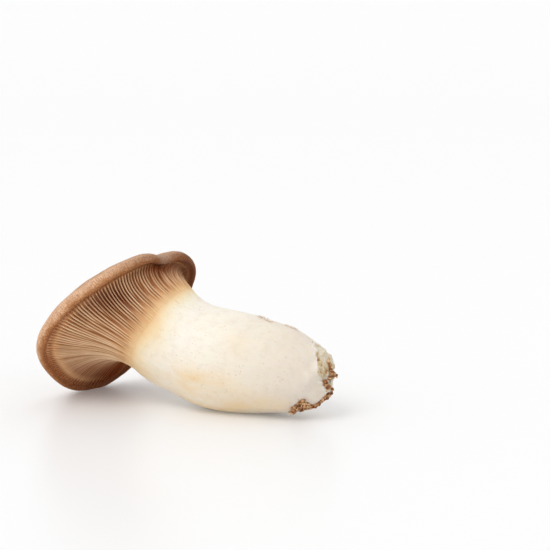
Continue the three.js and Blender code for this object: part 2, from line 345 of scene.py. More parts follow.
def painted_shade_share(share, angle, zones):
    """How much painted shade browns and darkens the flesh, from 0 at the neck."""
    brown = sum(strength * bump(angle, centre, width) for centre, width, strength in zones)
    return ease(share, SHADE_START, SHADE_FULL) * min(brown, 1)


def stain_share(place, angle):
    """How yellow the stem is at a station and an angle."""
    return min(sum(
        strength * bump(angle, centre, width) * math.exp(-((place - middle) / reach) ** 2)
        for middle, reach, centre, width, strength in STAINS), 1)


def lip_station(angle):
    """Station where the smooth skin ends in a lip, over the torn flesh."""
    return LIP_LOW + LIP_REACH * bump(angle, LIP_ANGLE, LIP_WIDTH)


def deselect_all():
    for item in bpy.context.selected_objects:
        item.select_set(False)


def finish_piece(piece, slot, *nodes):
    """Puts a piece on the root body and hides the CAD parts of the nodes that it stands for. The slot is
    not used.
    """
    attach(piece, "root")
    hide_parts(*nodes)


def set_ring(piece, ring, columns):
    """Puts the selected ring of points where the ring says and returns its points' columns."""
    skin = bmesh.from_edit_mesh(piece.data)
    skin.verts.index_update()
    station_layer = skin.verts.layers.float["station"]
    grain_layer = skin.verts.layers.float_vector["grain"]
    station, along, points = ring
    radius = sum((point - sum(points, Vector()) / CAGE_SIDES).length for point in points) / CAGE_SIDES
    placed = {}
    for point in skin.verts:
        if not point.select:
            continue
        if columns:
            beside = [edge.other_vert(point).index for edge in point.link_edges]
            column = next(columns[index] for index in beside if index in columns)
        else:
            column = point.index
        turn = math.tau * column / CAGE_SIDES
        point.co = points[column] * MM
        point[station_layer] = station
        point[grain_layer] = Vector((along, radius * math.cos(turn), radius * math.sin(turn))) * MM
        placed[point.index] = column
    bmesh.update_edit_mesh(piece.data)
    return placed


def close_ring(piece, columns):
    """Closes the end of a skin with a fan of faces round one middle point."""
    skin = bmesh.from_edit_mesh(piece.data)
    skin.verts.index_update()
    for point in skin.verts:
        point.select = point.index in columns
    skin.select_flush(True)
    for edge in skin.edges:
        edge.select = all(point.select for point in edge.verts) and edge.is_boundary
    bmesh.update_edit_mesh(piece.data)
    bpy.ops.mesh.extrude_edges_move()
    bpy.ops.mesh.merge(type="CENTER")
    skin = bmesh.from_edit_mesh(piece.data)
    grain_layer = skin.verts.layers.float_vector["grain"]
    for point in skin.verts:
        if point.select:
            point[grain_layer] = Vector((point[grain_layer].x, 0, 0))
    bmesh.update_edit_mesh(piece.data)


def loft(name, rings):
    """One closed skin: a circle is added at the first ring and extruded to each of the others."""
    deselect_all()
    bpy.ops.mesh.primitive_circle_add(vertices=CAGE_SIDES, radius=STEM[1][2] * MM)
    piece = bpy.context.object
    piece.name = name
    piece.data.attributes.new("station", "FLOAT", "POINT")
    piece.data.attributes.new("grain", "FLOAT_VECTOR", "POINT")
    bpy.ops.object.mode_set(mode="EDIT")
    bpy.ops.mesh.select_all(action="SELECT")
    first = columns = set_ring(piece, rings[0], None)
    for ring in rings[1:]:
        bpy.ops.mesh.extrude_edges_move()
        columns = set_ring(piece, ring, columns)
    close_ring(piece, columns)
    close_ring(piece, first)
    bpy.ops.mesh.select_all(action="SELECT")
    bpy.ops.mesh.normals_make_consistent(inside=False)
    bpy.ops.object.mode_set(mode="OBJECT")
    return piece


def body_rings():
    """Station number, way from the torn end in mm and points of each ring, over the neck to the
    cap's top."""
    angles = [360 * i / CAGE_SIDES for i in range(CAGE_SIDES)]
    last_torn = TORN_STATIONS[-1]
    steps = round((NECK - last_torn) / STEM_STEP)
    stations = TORN_STATIONS + [last_torn + STEM_STEP * i for i in range(1, steps + 1)]
    rings = [(place, [rest(stem_point(place, a)) for a in angles]) for place in stations]
    for share in FUNNEL_SHARES:
        station = FUNNEL_STATION + share
        rings.append((station, [rest(funnel_point(share, a, gap_floor(share, a))) for a in angles]))
    for i, (height, share, added) in enumerate(CAP_RINGS):
        station = SKIN_STATION + (i + 1) / len(CAP_RINGS)
        rings.append((station, [rest(cap_point(height, share, added, a)) for a in angles]))
    measured = []
    along = 0
    before = rings[0][1]
    for station, points in rings:
        along += sum((a - b).length for a, b in zip(points, before)) / CAGE_SIDES
        measured.append((station, along, points))
        before = points
    return measured


def new_marks(mesh, *names):
    """Adds an attribute of one number a point for each name; all are added before any is read."""
    for name in names:
        mesh.attributes.new(name, "FLOAT", "POINT")
    return [mesh.attributes[name].data for name in names]


def finish_skin(piece):
    """Sculpts the small unevenness of the grown skin, the lip and the torn end into the finished
    mesh, and notes where the flesh is torn, stained, under painted shade or pale, and where the lip's ridge
    carries a painted highlight."""
    data = piece.data
    torn_marks, stain_marks, painted_shade_marks, pale_marks, lip_highlight_marks = new_marks(
        data, "torn", "stain", "painted_shade", "pale", "lip")
    stations = data.attributes["station"].data
    grains = data.attributes["grain"].data
    normals = [vertex.normal.copy() for vertex in data.vertices]
    for i, (vertex, normal) in enumerate(zip(data.vertices, normals)):
        place = stations[i].value
        here = vertex.co / MM
        angle = math.degrees(math.atan2(grains[i].vector.z, grains[i].vector.y))
        lip = lip_station(angle) + LIP_STRAY * noise.fractal(here * TORN_FINE, 0.8, 2.1, 3)
        torn = 1 - ease(place, lip - TEAR_BEFORE, lip + TEAR_AFTER)
        ridge = math.exp(-((place - lip - RIDGE_PLACE) / RIDGE_WIDTH) ** 2)
        skin = ease(place, SKIN_STATION, SKIN_STATION + SKIN_FULL)
        stem = (1 - torn) * (1 - ease(place, NECK - 1, NECK))
        rough = torn * (TORN_ROUGH * noise.fractal(here * TORN_FINE, 0.9, 2.2, 4) - TORN_SUNK)
        rough += ridge * (RIDGE_HEIGHT + RIDGE_WAVES * noise.noise(here * RIDGE_FINE))
        swells = CAP_SWELLS * noise.noise(here * CAP_SWELLS_FINE)
        rough += skin * (swells + CAP_GRAIN * noise.noise(here * CAP_GRAIN_FINE) - CAP_SUNK)
        stretched = Vector((here.x * STEM_FINE_ALONG, here.y * STEM_FINE_ACROSS, here.z * STEM_FINE_ACROSS))
        rough += STEM_SWELLS * stem * noise.noise(stretched)
        nub = bump(angle, NUB_ANGLE, NUB_WIDTH) * math.exp(-((place - NUB_STATION) / NUB_REACH) ** 2)
        rough += NUB_HEIGHT * nub
        vertex.co = vertex.co + normal * rough * MM
        vertex.co.z = max(vertex.co.z, 0)
        torn_marks[i].value = torn
        stain_marks[i].value = stain_share(place, angle)
        zones = SHADED_RIM_ZONES if place > SKIN_STATION else SHADED_GILL_ZONES
        share = clamp(place - FUNNEL_STATION)
        # Painted shade over the floor of the gaps in the deep zone.
        gap_shade = deep_share(share, angle) * (FUNNEL_STATION < place < SKIN_STATION)
        painted_shade_marks[i].value = max(painted_shade_share(share, angle, zones), gap_shade)
        near_rim = skin * (1 - ease(place, SKIN_STATION + PALE_START, SKIN_STATION + PALE_END))
        pale_marks[i].value = near_rim * bump(angle, DENT_ANGLE, PALE_WIDTH * DENT_WIDTH)
        # Marks the lip's ridge for its painted highlight.
        lip_highlight_marks[i].value = ridge


def make_body(flesh, cap_skin):
    """Stem, flared underside and cap, as one closed skin with two finishes."""
    body = loft("mushroom_body", body_rings())
    body.modifiers.new("smooth", "SUBSURF").levels = 2
    bpy.ops.object.modifier_apply(modifier="smooth")
    finish_skin(body)
    body.data.materials.append(flesh)
    body.data.materials.append(cap_skin)
    stations = body.data.attributes["station"].data
    for face in body.data.polygons:
        middle = sum(stations[i].value for i in face.vertices) / len(face.vertices)
        face.material_index = int(middle > SKIN_STATION)
    bpy.ops.object.shade_smooth()
    finish_piece(body, "mushroom_flesh", "mushroom")
    return body


def copy_of(master):
    """A copy of a piece, with a mesh of its own."""
    copy = master.copy()
    copy.data = master.data.copy()
    bpy.context.collection.objects.link(copy)
    return copy


def join_copies(copies, name):
    deselect_all()
    for copy in copies:
        copy.select_set(True)
    bpy.context.view_layer.objects.active = copies[0]
    bpy.ops.object.join()
    piece = bpy.context.object
    piece.name = name
    return piece


def select_edges(mesh, wanted):
    """Selects the edges of a mesh in edit mode by where their two ends are."""
    bpy.ops.mesh.select_all(action="DESELECT")
    shape = bmesh.from_edit_mesh(mesh)
    for edge in shape.edges:
        start, end = [point.co for point in edge.verts]
        edge.select = wanted(start, end)
    bmesh.update_edit_mesh(mesh)


# Height of the two long edges beside a blade's crest, as a share of the blade's.
BLADE_SHOULDER = 0.9


def blade_master():
    """A bar one long, one wide and one high, cut across along its length, with a rounded crest."""
    deselect_all()
    bpy.ops.mesh.primitive_cube_add(size=1, location=(0.5, 0, 0.5))
    bar = bpy.context.object
    bpy.ops.object.transform_apply(location=True)
    bpy.ops.object.mode_set(mode="EDIT")
    bpy.ops.mesh.select_mode(type="EDGE")
    select_edges(bar.data, lambda a, b: abs(a.x - b.x) > 0.5)
    bpy.ops.mesh.subdivide(number_cuts=GILL_SEGMENTS - 1)
    select_edges(bar.data, lambda a, b: abs(a.y - b.y) > 0.5 and min(a.z, b.z) > 0.5)
    bpy.ops.mesh.subdivide(number_cuts=1)
    shape = bmesh.from_edit_mesh(bar.data)
    for point in shape.verts:
        if point.co.z > 0.5 and abs(point.co.y) > 0.25:
            point.co.z = BLADE_SHOULDER
    bmesh.update_edit_mesh(bar.data)
    bpy.ops.object.mode_set(mode="OBJECT")
    return bar


def gill_sway(share, angle):
    """How far a gill strays sideways, in degrees: neighbours stray together, so they never cross."""
    a = math.radians(angle)
    slow = noise.noise(Vector((math.cos(a) * SLOW_ROUND, math.sin(a) * SLOW_ROUND, share * SLOW_OUT)))
    quick = noise.noise(Vector((math.cos(a) * QUICK_ROUND, math.sin(a) * QUICK_ROUND, share * QUICK_OUT)))
    ripple = QUICK_SWAY * quick * (1 - QUICK_LOST * share)
    return SLOW_SWAY * slow * share * (SLOW_END - share) + ripple


def bend_blade(mesh, angle, start, growth, thickness, crest, shade):
    """Lays a copy of the bar along the flared underside, its root sunk in and its crest out, and notes
    how high up the blade and how far out a point is, how much painted shade it gets and the blade's tone."""
    depths, shares, shade_marks, tones = new_marks(mesh, "depth", "along", "painted_shade", "tone")
    for vertex in mesh.vertices:
        share = start + (GILL_END - start) * vertex.co.x
        grown = ease(share, start, start + growth)
        tapered = thickness * (ROOT_WIDTH - CREST_TAPER * vertex.co.z)
        width = tapered * (START_WIDTH + (1 - START_WIDTH) * grown)
        there = angle + gill_sweep(share, angle) + gill_sway(share, angle)
        sideways = math.degrees(vertex.co.y * width / funnel_radius(max(share, 0), angle))
        floor = gap_floor(share, there)
        full = GILL_CREST * crest * ease(share, -GILL_OVER_NECK, CREST_FULL)
        top = full * (1 - CREST_LOST * ease(share, RIM_START, 1))
        low = floor - GILL_ROOT
        high = floor - GILL_HIDDEN + (top - floor + GILL_HIDDEN) * grown
        relief = low + (high - low) * vertex.co.z
        depths[vertex.index].value = vertex.co.z * grown
        shares[vertex.index].value = share
        tones[vertex.index].value = shade * ease(share, 0, GAP_FULL)
        painted_shade = painted_shade_share(share, there, SHADED_GILL_ZONES)
        # Painted shade low on the blades in the deep zone, down in the gaps.
        gap_shade = (1 - vertex.co.z) * deep_share(share, there)
        shade_marks[vertex.index].value = max(painted_shade, gap_shade)
        vertex.co = rest(flared_point(share, there + sideways, relief)) * MM


# Ranges of the gills' random draws: where long and short ones start, how far they are off their even
# places as a share of their spacing, and how thick and how high they are.
LONG_START, SHORT_START = (-GILL_OVER_NECK, -0.5 * GILL_OVER_NECK), (-0.05, 0.15)
GILL_OFF = (-0.12, 0.12)
GILL_UNEVEN_WIDTH, GILL_UNEVEN_CREST = (0.85, 1.15), (0.75, 1.25)


def make_gills(material):
    """Most gills run down over the neck, and every fourth is a shorter one that starts further out."""
    draw = random.Random(5)
    bar = blade_master()
    bar.data.materials.append(material)
    blades = []
    spacing = 360 / GILL_COUNT
    for i in range(GILL_COUNT):
        long_start = draw.uniform(*LONG_START)
        short_start = draw.uniform(*SHORT_START)
        is_short = i % 4 == 3
        start = short_start if is_short else long_start
        angle = i * spacing + draw.uniform(*GILL_OFF) * spacing
        blade = copy_of(bar)
        thickness = GILL_THICKNESS * draw.uniform(*GILL_UNEVEN_WIDTH)
        growth = SHORT_GROWTH if is_short else LONG_GROWTH
        crest = draw.uniform(*GILL_UNEVEN_CREST)
        bend_blade(blade.data, angle, start, growth, thickness, crest, draw.random())
        blades.append(blade)
    bpy.data.objects.remove(bar)
    gills = join_copies(blades, "gills")
    bpy.ops.object.shade_smooth_by_angle(angle=math.radians(50))
    finish_piece(gills, "mushroom_flesh", "mushroom")
    return gills


# Crumbs of growing medium: routes of stations, angles and half widths in mm over the torn end. Heaps
# stand so many mm apart along them, but for a bare share, with so many grains to a mm of half width.
CRUMB_ROUTES = [
    [(4.0, 206, 0.8), (3.8, 209, 1.3), (3.5, 215, 1.9), (3.1, 212, 1.5), (2.6, 202, 0.7), (2.2, 194, 0.8),
     (1.8, 178, 0.9), (1.3, 168, 1.0), (0.9, 150, 0.7)],
    [(3.4, 222, 1.2), (3.0, 227, 1.5), (2.7, 227, 0.6)],
    [(3.6, 196, 0.9), (3.3, 180, 0.6), (3.1, 174, 0.3)],
    [(0.9, 230, 0.6), (1.0, 252, 0.8), (1.2, 275, 0.7), (1.2, 292, 0.4)],
    [(0.8, 320, 0.3), (0.9, 345, 0.5), (1.0, 402, 0.7), (0.9, 425, 0.7), (1.3, 433, 0.5)],
    [(1.2, 350, 0.3), (1.5, 360, 0.5), (1.8, 365, 0.3), (2.1, 364, 0.3)],
]
CRUMB_STEP = 0.7
CRUMBS_A_MM = 22
BARE_SHARE = 0.16

# Heaps, as shares of their half width: how unevenly wide they are, how far their grains spread
# sideways, how high they are in the middle and how far out they end. Their grains are counted with
# this many mm more of half width, so the narrowest heaps get some too.
HEAP_UNEVEN = (0.6, 1.25)
HEAP_SPREAD = 0.6
HEAP_HEIGHT = (-0.1, 0.55)
HEAP_FOOT = 1.6
HEAP_LEAST = 0.3

# Grains are mostly small: their least radius and what the largest add to it, in mm, then how far each
# is stretched along x and y and along z, how deep and how close its dents are, and how far over the
# floor it stays, in mm. Each takes its dents from a place of its own in the noise, within this span.
GRAIN_SMALL, GRAIN_MORE = 0.1, 0.55
GRAIN_STRETCH, GRAIN_STRETCH_UP = (0.7, 1.5), (0.7, 1.3)
GRAIN_DENT, GRAIN_DENTS = 0.6, 1.3
GRAIN_CLEARANCE = 0.05
NOISE_SPAN = 50


def route_points(route):
    """Stations, angles and half widths at even steps along a route."""
    points = []
    for start, end in zip(route, route[1:]):
        length = (stem_point(*end[:2]) - stem_point(*start[:2])).length
        steps = max(round(length / CRUMB_STEP), 1)
        for k in range(steps):
            points.append([a + (b - a) * k / steps for a, b in zip(start, end)])
    return points


def stem_normal(place, angle):
    here = stem_point(place, angle)
    ahead = stem_point(place + 0.05, angle) - here
    return (stem_point(place, angle + 2) - here).cross(ahead).normalized()


def make_crumbs(material):
    """Rough grains of many sizes and tones, each a dented ball, heaped along the routes."""
    draw = random.Random(8)
    deselect_all()
    bpy.ops.mesh.primitive_uv_sphere_add(segments=7, ring_count=5, radius=1)
    master = bpy.context.object
    master.data.materials.append(material)
    grains = []
    for route in CRUMB_ROUTES:
        for place, angle, reach in route_points(route):
            normal = stem_normal(place, angle)
            if draw.random() < BARE_SHARE:
                continue
            reach *= draw.uniform(*HEAP_UNEVEN)
            for _ in range(round(CRUMBS_A_MM * (HEAP_LEAST + reach))):
                stray = Vector([draw.gauss(0, HEAP_SPREAD) for _ in range(3)]) * reach
                stray -= normal * stray.dot(normal)
                slope = max(1 - stray.length / (HEAP_FOOT * reach), 0)
                lift = normal * (draw.uniform(*HEAP_HEIGHT) * reach * slope)
                size = GRAIN_SMALL + GRAIN_MORE * draw.random() ** 3
                spot = stem_point(place, angle) + stray + lift
                grain = copy_of(master)
                tones, = new_marks(grain.data, "tone")
                shade = draw.random()
                offset = Vector([draw.random() for _ in range(3)]) * NOISE_SPAN
                ranges = (GRAIN_STRETCH, GRAIN_STRETCH, GRAIN_STRETCH_UP)
                longer = Vector([draw.uniform(*stretch) for stretch in ranges])
                for vertex in grain.data.vertices:
                    dent = 1 + GRAIN_DENT * noise.noise(vertex.co * GRAIN_DENTS + offset)
                    point = spot + vertex.co * longer * size * dent
                    vertex.co = Vector((point.x, point.y, max(point.z, GRAIN_CLEARANCE))) * MM
                    tones[vertex.index].value = shade
                grains.append(grain)
    bpy.data.objects.remove(master)
    crumbs = join_copies(grains, "crumbs")
    finish_piece(crumbs, "growing_medium", "substrate_crumbs")
    return crumbs


# Small flakes of torn skin along the top of the stem: stations and angles, how far they stray from
# them, the thickness of the sheet that they are copied from and the share of it that a flake keeps,
# their half length, half width, curl and skew in mm, how much narrower their ends are, and how many
# mm they lie off the skin.
FLAKE_SPOTS = [
    (6.6, 14), (6.45, 8), (6.3, 11), (6.1, 7), (5.95, 3), (5.3, 10), (5.15, 7), (5.05, 12), (3.7, 2)]
FLAKES_A_SPOT = 3
FLAKE_STRAY, FLAKE_TURN = 0.12, 5
FLAKE_SHEET, FLAKE_THINNING = 0.16, 0.2
FLAKE_LONG, FLAKE_WIDE = (0.5, 1.2), (0.2, 0.4)
FLAKE_CURL, FLAKE_SKEW = (0.1, 0.5), (-0.4, 0.4)
FLAKE_TAPER = 0.6
FLAKE_LIFT = 0.12


def make_flakes(material):
    """Thin curled scraps of skin, each a bent and tapered sheet."""
    draw = random.Random(3)
    deselect_all()
    bpy.ops.mesh.primitive_grid_add(x_subdivisions=6, y_subdivisions=3, size=2)
    master = bpy.context.object
    master.modifiers.new("skin", "SOLIDIFY").thickness = FLAKE_SHEET
    bpy.ops.object.modifier_apply(modifier="skin")
    master.data.materials.append(material)
    flakes = []
    for place, angle in FLAKE_SPOTS:
        for _ in range(FLAKES_A_SPOT):
            at = place + draw.uniform(-FLAKE_STRAY, FLAKE_STRAY)
            turn = angle + draw.uniform(-FLAKE_TURN, FLAKE_TURN)
            spot = stem_point(at, turn)
            normal = stem_normal(at, turn)
            ahead = (stem_point(at + 0.05, turn) - spot).normalized()
            side = normal.cross(ahead)
            long, wide = draw.uniform(*FLAKE_LONG), draw.uniform(*FLAKE_WIDE)
            curl, skew = draw.uniform(*FLAKE_CURL), draw.uniform(*FLAKE_SKEW)
            flake = copy_of(master)
            for vertex in flake.data.vertices:
                x, y, z = vertex.co
                taper = 1 - FLAKE_TAPER * abs(x)
                level = curl * x * x + FLAKE_THINNING * z + FLAKE_LIFT
                flat = ahead * (x * long) + side * (y * wide * taper + skew * x)
                vertex.co = (spot + flat + normal * level) * MM
            flakes.append(flake)
    bpy.data.objects.remove(master)
    scraps = join_copies(flakes, "torn_flakes")
    bpy.ops.object.shade_smooth()
    finish_piece(scraps, "mushroom_flesh", "mushroom")
    return scraps


def linear(colour):
    """An sRGB hex colour as linear red, green, blue and alpha."""
    parts = [int(colour[i:i + 2], 16) / 255 for i in (1, 3, 5)]
    return [p / 12.92 if p <= 0.04045 else ((p + 0.055) / 1.055) ** 2.4 for p in parts] + [1]


# A colour Mix node's sockets, by number: the second colour's share, the two colours and the result.
SHARE, FIRST, SECOND, MIXED = 0, 6, 7, 2


def add_node(tree, kind, sockets=None, stops=None, **settings):
    """Adds a node. Sockets hold a value or another node's output, by name, or by number where several
    share a name. Stops are a ramp's colours."""
    node = tree.nodes.new(kind)
    for name, value in settings.items():
        setattr(node, name, value)
    for name, value in (sockets or {}).items():
        if isinstance(value, bpy.types.NodeSocket):
            tree.links.new(value, node.inputs[name])
        else:
            node.inputs[name].default_value = value
    if stops:
        elements = node.color_ramp.elements
        while len(elements) < len(stops):
            elements.new(0.5)
        for element, (place, colour) in zip(elements, stops):
            element.position = place
            element.color = linear(colour) if isinstance(colour, str) else (colour,) * 3 + (1,)
    return node


def new_material(name):
    material = bpy.data.materials.new(name)
    material.use_nodes = True
    tree = material.node_tree
    return material, tree, tree.nodes["Principled BSDF"]


def per_mm(size):
    """Scale of a pattern whose features are the given size in mm."""
    return 1 / (size * MM)


def flesh_material():
    """Fresh king oyster flesh: firm, matte and slightly see-through, cream with yellow stains, tan at
    the neck, deep brown between the gills, partly painted shade, and grey-white at the torn end, with a
    painted highlight along its lip."""
    material, tree, shader = new_material("mushroom_flesh_cream")
    place = add_node(tree, "ShaderNodeTexCoord").outputs["Object"]
    along = add_node(tree, "ShaderNodeAttribute", attribute_name="grain").outputs["Vector"]
    station, stain, torn, lip, painted_shade = [
        add_node(tree, "ShaderNodeAttribute", attribute_name=name).outputs["Fac"]
        for name in ("station", "stain", "torn", "lip", "painted_shade")]
    stretched = add_node(tree, "ShaderNodeMapping", {"Vector": along, "Scale": (0.4, 1, 1)}).outputs[0]

    # Ground colour by station, from the torn end over stem and neck to the gaps between the gills. Its
    # borders wander with the clouds, and less so near the gills. The brown of the gaps' floor is partly
    # painted shade.
    clouds = add_node(tree, "ShaderNodeTexNoise", {
        "Vector": stretched, "Scale": per_mm(11), "Detail": 4.0, "Roughness": 0.6}).outputs[0]
    wander = add_node(tree, "ShaderNodeMath", {0: clouds, 1: -0.5}, operation="ADD").outputs[0]
    calm = add_node(tree, "ShaderNodeMapRange", {
        "Value": station, "From Min": 8.0, "From Max": FUNNEL_STATION,
        "To Min": 3.0, "To Max": 0.5}).outputs[0]
    spread = add_node(tree, "ShaderNodeMath", {0: wander, 1: calm}, operation="MULTIPLY").outputs[0]
    wavy = add_node(tree, "ShaderNodeMath", {0: station, 1: spread}, operation="ADD").outputs[0]
    way = add_node(tree, "ShaderNodeMapRange", {"Value": wavy, "From Max": SKIN_STATION}).outputs[0]
    ground = add_node(tree, "ShaderNodeValToRGB", {0: way}, stops=[
        (0.0, "#ded2c0"),
        (0.22, "#e3dace"),
        (0.36, "#e4d9cb"),
        (0.5, "#ebe2d3"),
        (0.62, "#f3ecdf"),
        (0.76, "#f4eee3"),
        (0.835, "#f3ead6"),
        (0.875, "#f1deba"),
        (0.908, "#ebc898"),
        (0.926, "#daaa78"),
        (0.943, "#c8946a"),
        (0.962, "#b8774b"),
        (0.986, "#b8774b"),
        (0.993, "#dcae82"),
        (0.997, "#a9683a"),
    ]).outputs[0]

    # Greyer mottling of about 3 mm and yellow stains in patches.
    mottle = add_node(tree, "ShaderNodeTexNoise", {
        "Vector": place, "Scale": per_mm(3.2), "Detail": 5.0, "Roughness": 0.65}).outputs[0]
    greyer = add_node(tree, "ShaderNodeMapRange", {
        "Value": mottle, "From Min": 0.48, "From Max": 0.66, "To Max": 0.18}).outputs[0]
    mottled = add_node(tree, "ShaderNodeMix", {
        SHARE: greyer, FIRST: ground, SECOND: linear("#cdbca2")}, data_type="RGBA").outputs[MIXED]
    patches = add_node(tree, "ShaderNodeMapRange", {
        "Value": clouds, "From Min": 0.38, "From Max": 0.62, "To Min": 0.25}).outputs[0]
    stained = add_node(tree, "ShaderNodeMath", {0: stain, 1: patches}, operation="MULTIPLY").outputs[0]
    tinted = add_node(tree, "ShaderNodeMix", {
        SHARE: stained, FIRST: mottled, SECOND: linear("#ecc98c")}, data_type="RGBA").outputs[MIXED]

    # Fibres along the stem. Real ones are about 0.1 mm thick, too fine to show, so these are 0.9 mm.
    fibres = add_node(tree, "ShaderNodeMapping", {"Vector": along, "Scale": (0.12, 1, 1)}).outputs[0]
    strand = add_node(tree, "ShaderNodeTexNoise", {
        "Vector": fibres, "Scale": per_mm(0.9), "Detail": 3.0, "Roughness": 0.6}).outputs[0]
    streaks = add_node(tree, "ShaderNodeMapRange", {
        "Value": strand, "From Min": 0.45, "From Max": 0.8, "To Max": 0.17}).outputs[0]
    fibrous = add_node(tree, "ShaderNodeMix", {
        SHARE: streaks, FIRST: tinted, SECOND: linear("#e2c69c")}, data_type="RGBA").outputs[MIXED]

    # Small brown specks, some 1.5 mm apart in a few places and none in others.
    dots = add_node(tree, "ShaderNodeTexVoronoi", {"Vector": place, "Scale": per_mm(1.5)}).outputs[0]
    speck = add_node(tree, "ShaderNodeMapRange", {
        "Value": dots, "From Min": 0.07, "From Max": 0.22, "To Min": 0.42, "To Max": 0.0}).outputs[0]
    sparse = add_node(tree, "ShaderNodeTexNoise", {"Vector": place, "Scale": per_mm(6)}).outputs[0]
    some = add_node(tree, "ShaderNodeMapRange", {
        "Value": sparse, "From Min": 0.44, "From Max": 0.6}).outputs[0]
    dotted = add_node(tree, "ShaderNodeMath", {0: speck, 1: some}, operation="MULTIPLY").outputs[0]
    specked = add_node(tree, "ShaderNodeMix", {
        SHARE: dotted, FIRST: fibrous, SECOND: linear("#b37c4c")}, data_type="RGBA").outputs[MIXED]

    # Ragged grey-white flesh at the torn end, tan in its hollows, and a painted highlight along the lip
    # over it.
    ragged = add_node(tree, "ShaderNodeTexNoise", {
        "Vector": place, "Scale": per_mm(2.6), "Detail": 4.0, "Roughness": 0.65}).outputs[0]
    tear = add_node(tree, "ShaderNodeValToRGB", {0: ragged}, stops=[
        (0.34, "#a87b4a"),
        (0.43, "#ceb68e"),
        (0.52, "#d9cfb9"),
        (0.66, "#e6dfd0"),
    ]).outputs[0]
    # Painted highlight: the lip's ridge, broken up by the mottling, is drawn paler.
    lip_highlight = add_node(tree, "ShaderNodeMath", {0: lip, 1: mottle}, operation="MULTIPLY").outputs[0]
    highlighted = add_node(tree, "ShaderNodeMix", {
        SHARE: lip_highlight, FIRST: specked, SECOND: linear("#f3eee6")}, data_type="RGBA").outputs[MIXED]
    rough_end = add_node(tree, "ShaderNodeMix", {
        SHARE: torn, FIRST: highlighted, SECOND: tear}, data_type="RGBA").outputs[MIXED]
    # Painted shade darkens the flesh in zones round the gills and over the gaps between them.
    colour = add_node(tree, "ShaderNodeMix", {
        SHARE: painted_shade, FIRST: rough_end, SECOND: linear("#a56a40")},
        data_type="RGBA", blend_type="MULTIPLY").outputs[MIXED]

    # Low relief of the fibres and of the torn flesh. The gaps between the gills aren't see-through.
    relief = add_node(tree, "ShaderNodeBump", {
        "Height": strand, "Strength": 0.15, "Distance": 0.25 * MM}).outputs[0]
    rugged = add_node(tree, "ShaderNodeBump", {
        "Height": ragged, "Strength": torn, "Distance": 0.5 * MM, "Normal": relief}).outputs[0]
    tree.links.new(colour, shader.inputs["Base Color"])
    tree.links.new(rugged, shader.inputs["Normal"])
    soft = add_node(tree, "ShaderNodeMapRange", {
        "Value": station, "From Min": 10.5, "From Max": 11.2, "To Min": 0.3, "To Max": 0.0}).outputs[0]
    tree.links.new(soft, shader.inputs["Subsurface Weight"])
    shader.inputs["Roughness"].default_value = 0.5
    shader.inputs["IOR"].default_value = 1.4
    shader.inputs["Specular IOR Level"].default_value = 0.3
    shader.inputs["Subsurface Radius"].default_value = (1.0, 0.7, 0.42)
    shader.inputs["Subsurface Scale"].default_value = 2.5 * MM
    return material


